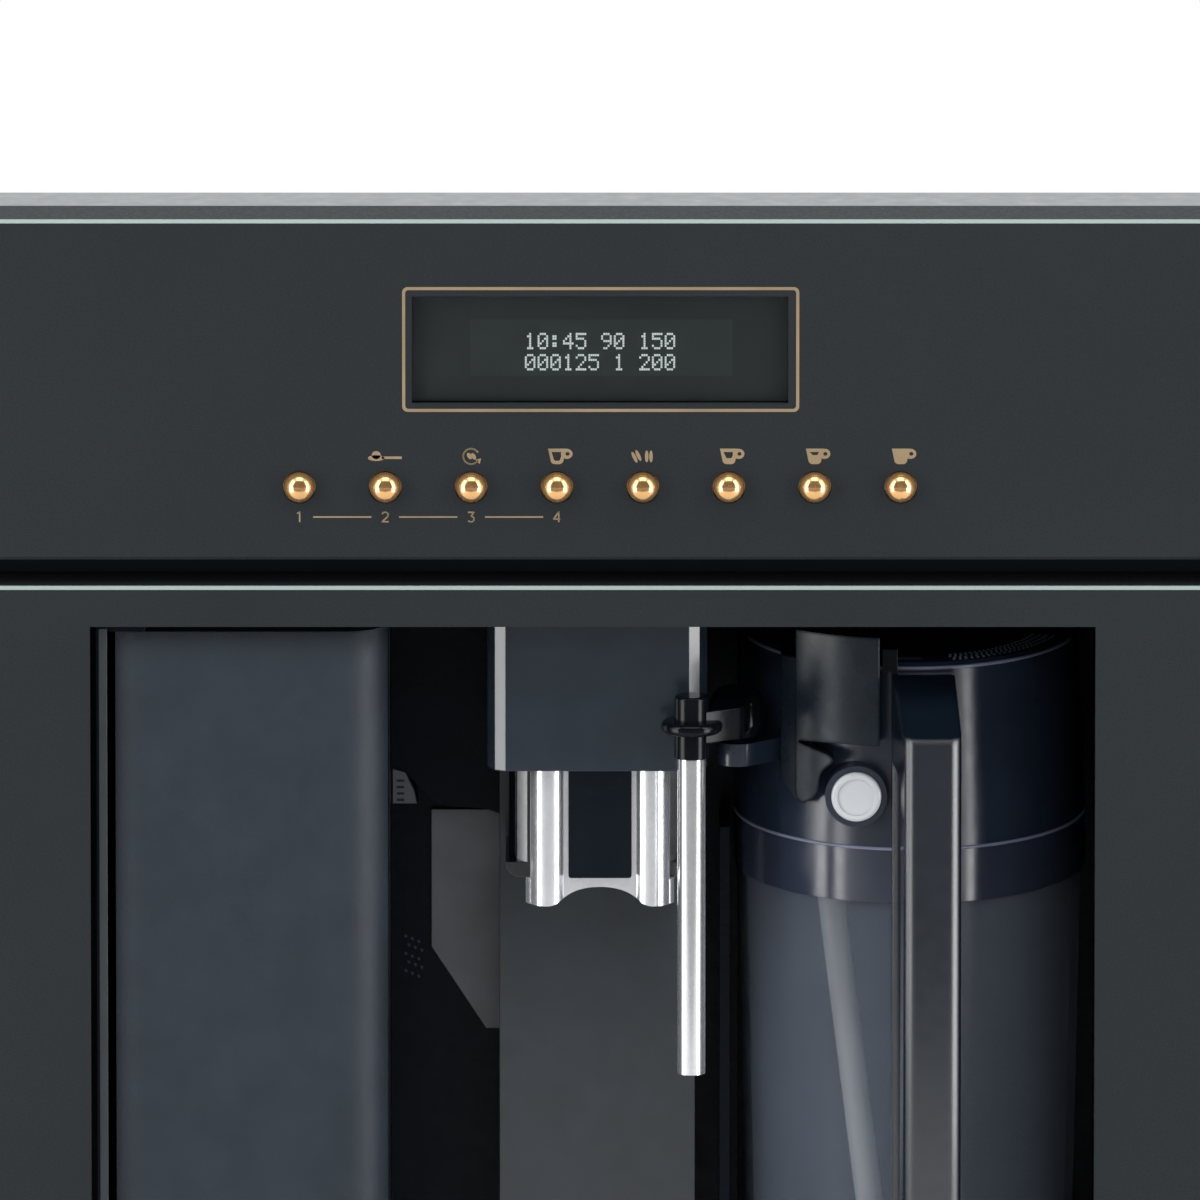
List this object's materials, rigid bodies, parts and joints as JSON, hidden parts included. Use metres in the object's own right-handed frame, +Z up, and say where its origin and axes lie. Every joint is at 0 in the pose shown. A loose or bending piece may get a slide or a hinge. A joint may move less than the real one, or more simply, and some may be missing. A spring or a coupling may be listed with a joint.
{
  "type": "built in coffee machine",
  "caption": "Built-in bean-to-cup coffee machine on pull-out runners, with a dark front, a height-adjustable spout and a lidded milk jug.",
  "frame": {"origin": "centre of the underside of the runner tray, the face that stands on the niche's shelf", "axes": "+Z up, +X to the right as seen by the user, front faces -Y"},
  "size_m": [0.597, 0.396, 0.456],
  "materials": {
    "anthracite_front": "fine matte texture",
    "brass": "polished",
    "dark_glass": "clear and dark",
    "black_plastic": "satin",
    "gloss_black": "glossy",
    "chrome": "polished",
    "steel": "satin sheet",
    "galvanised": "bare sheet",
    "smoky": "smoky and clear",
    "clear_tube": "clear",
    "board_green": "solder mask",
    "lamp_grey": "smooth",
    "aluminium": "cast",
    "black_coat": "matte black coat",
    "hose": "smooth",
    "red_plastic": "smooth",
    "tank_clear": "clear and tinted",
    "silver_button": "satin silver"
  },
  "bodies": {
    "base": {"runner_tray": "galvanised"},
    "rails": {"middle_rails": "steel"},
    "machine": {"control_panel": "anthracite_front", "display_window": "dark_glass", "panel_carrier": "black_plastic", "control_boards": "board_green", "front_frame": "anthracite_front", "backplate": "black_coat", "casing_shell": "galvanised", "rear_panel": "galvanised", "top_cover": "galvanised", "tray_housing": "black_plastic", "bay_liner": "gloss_black", "recess_lamp": "lamp_grey", "spout_housing": "gloss_black", "steam_nozzle": "steel", "tank_cradle": "black_plastic", "bean_hopper": "black_plastic", "grinder_body": "aluminium", "works_deck": "galvanised", "thermoblocks": "aluminium", "water_pump": "black_plastic", "power_board": "board_green", "infuser_frame": "black_plastic", "hoses": "hose", "mains_fittings": "black_plastic"},
    "button_1": {"button_1": "brass"},
    "button_2": {"button_2": "brass"},
    "button_3": {"button_3": "brass"},
    "button_4": {"button_4": "brass"},
    "button_5": {"button_5": "brass"},
    "button_6": {"button_6": "brass"},
    "button_7": {"button_7": "brass"},
    "button_8": {"button_8": "brass"},
    "door": {"service_door": "gloss_black"},
    "spout": {"spout_carrier": "gloss_black", "spout_cover": "chrome", "spout_inlay": "black_plastic"},
    "jug": {"jug_vessel": "smoky", "jug_collar": "gloss_black", "jug_lid": "gloss_black", "milk_intake_tube": "clear_tube", "froth_cover": "gloss_black", "jug_handle": "gloss_black"},
    "clean": {"clean_button": "silver_button"},
    "froth": {"froth_slider": "black_plastic"},
    "arm": {"milk_arm": "gloss_black", "milk_tube": "chrome"},
    "tray": {"drip_tray": "gloss_black", "grounds_container": "black_plastic"},
    "grille": {"cup_grille": "steel"},
    "float": {"tray_float": "red_plastic"},
    "tank": {"water_tank": "tank_clear"},
    "tank_lid": {"tank_lid": "black_plastic"},
    "hopper_lid": {"hopper_lid": "black_plastic"},
    "knob": {"grind_knob": "black_plastic"},
    "switch": {"mains_switch": "black_plastic"},
    "burr": {"grinder_burr": "steel"},
    "carriage": {"infuser_carriage": "black_plastic"},
    "spindle": {"infuser_spindle": "steel"}
  },
  "joints": [
    {"name": "machine_slide", "type": "slide", "parent": "base", "child": "machine", "axis": [0, -1, 0], "range_m": [0, 0.25]},
    {"name": "rail_slide", "type": "slide", "parent": "base", "child": "rails", "axis": [0, -1, 0], "range_m": [0, 0.126]},
    {"name": "button_1_press", "type": "slide", "parent": "machine", "child": "button_1", "axis": [0, 1, 0], "range_m": [0, 0.0012], "stiffness_N_per_m": 400, "springref_m": -0.0006},
    {"name": "button_2_press", "type": "slide", "parent": "machine", "child": "button_2", "axis": [0, 1, 0], "range_m": [0, 0.0012], "stiffness_N_per_m": 400, "springref_m": -0.0006},
    {"name": "button_3_press", "type": "slide", "parent": "machine", "child": "button_3", "axis": [0, 1, 0], "range_m": [0, 0.0012], "stiffness_N_per_m": 400, "springref_m": -0.0006},
    {"name": "button_4_press", "type": "slide", "parent": "machine", "child": "button_4", "axis": [0, 1, 0], "range_m": [0, 0.0012], "stiffness_N_per_m": 400, "springref_m": -0.0006},
    {"name": "button_5_press", "type": "slide", "parent": "machine", "child": "button_5", "axis": [0, 1, 0], "range_m": [0, 0.0012], "stiffness_N_per_m": 400, "springref_m": -0.0006},
    {"name": "button_6_press", "type": "slide", "parent": "machine", "child": "button_6", "axis": [0, 1, 0], "range_m": [0, 0.0012], "stiffness_N_per_m": 400, "springref_m": -0.0006},
    {"name": "button_7_press", "type": "slide", "parent": "machine", "child": "button_7", "axis": [0, 1, 0], "range_m": [0, 0.0012], "stiffness_N_per_m": 400, "springref_m": -0.0006},
    {"name": "button_8_press", "type": "slide", "parent": "machine", "child": "button_8", "axis": [0, 1, 0], "range_m": [0, 0.0012], "stiffness_N_per_m": 400, "springref_m": -0.0006},
    {"name": "door_hinge", "type": "hinge", "parent": "machine", "child": "door", "pos_m": [-0.138, -0.181, 0.2214], "axis": [0, 0, -1], "range_deg": [0, 95]},
    {"name": "spout_slide", "type": "slide", "parent": "machine", "child": "spout", "axis": [0, 0, -1], "range_m": [0, 0.04]},
    {"name": "jug_pull", "type": "slide", "parent": "machine", "child": "jug", "axis": [0, -1, 0], "range_m": [0, 0.16]},
    {"name": "clean_press", "type": "slide", "parent": "jug", "child": "clean", "axis": [0, 1, 0], "range_m": [0, 0.0015], "stiffness_N_per_m": 300, "springref_m": -0.0006},
    {"name": "froth_slide", "type": "slide", "parent": "jug", "child": "froth", "axis": [1, 0, 0], "range_m": [0, 0.008]},
    {"name": "arm_swivel", "type": "hinge", "parent": "jug", "child": "arm", "pos_m": [0.0399, -0.147, 0.3075], "axis": [0, 0, 1], "range_deg": [0, 45]},
    {"name": "tray_slide", "type": "slide", "parent": "machine", "child": "tray", "axis": [0, -1, 0], "range_m": [0, 0.15]},
    {"name": "grille_lift", "type": "slide", "parent": "tray", "child": "grille", "axis": [0, 0, 1], "range_m": [0, 0.025]},
    {"name": "float_rise", "type": "slide", "parent": "tray", "child": "float", "axis": [0, 0, 1], "range_m": [0, 0.005]},
    {"name": "tank_slide", "type": "slide", "parent": "machine", "child": "tank", "axis": [1, 0, 0], "range_m": [0, 0.06]},
    {"name": "tank_lid_hinge", "type": "hinge", "parent": "tank", "child": "tank_lid", "pos_m": [0.1535, -0.05, 0.3274], "axis": [0, -1, 0], "range_deg": [0, 85]},
    {"name": "hopper_lid_hinge", "type": "hinge", "parent": "machine", "child": "hopper_lid", "pos_m": [-0.005, 0.0265, 0.3918], "axis": [-1, 0, 0], "range_deg": [0, 100]},
    {"name": "knob_turn", "type": "hinge", "parent": "machine", "child": "knob", "pos_m": [0.092, -0.06, 0.393], "axis": [0, 0, 1], "range_deg": [0, 270]},
    {"name": "switch_rock", "type": "hinge", "parent": "machine", "child": "switch", "pos_m": [0.2, 0.11, 0.34], "axis": [0, -1, 0], "range_deg": [0, 6]},
    {"name": "burr_spin", "type": "hinge", "parent": "machine", "child": "burr", "pos_m": [-0.01, -0.038, 0.31], "axis": [0, 0, 1], "continuous": true},
    {"name": "carriage_slide", "type": "slide", "parent": "machine", "child": "carriage", "axis": [0, 0, 1], "range_m": [0, 0.06]},
    {"name": "spindle_turn", "type": "hinge", "parent": "machine", "child": "spindle", "pos_m": [-0.102, -0.028, 0.2], "axis": [0, 0, 1], "range_deg": [0, 3601]}
  ],
  "couplings": [
    {"joint": "rail_slide", "follows": "machine_slide", "ratio": 0.5},
    {"joint": "spindle_turn", "follows": "carriage_slide", "rad_per_m": 1047.2}
  ]
}
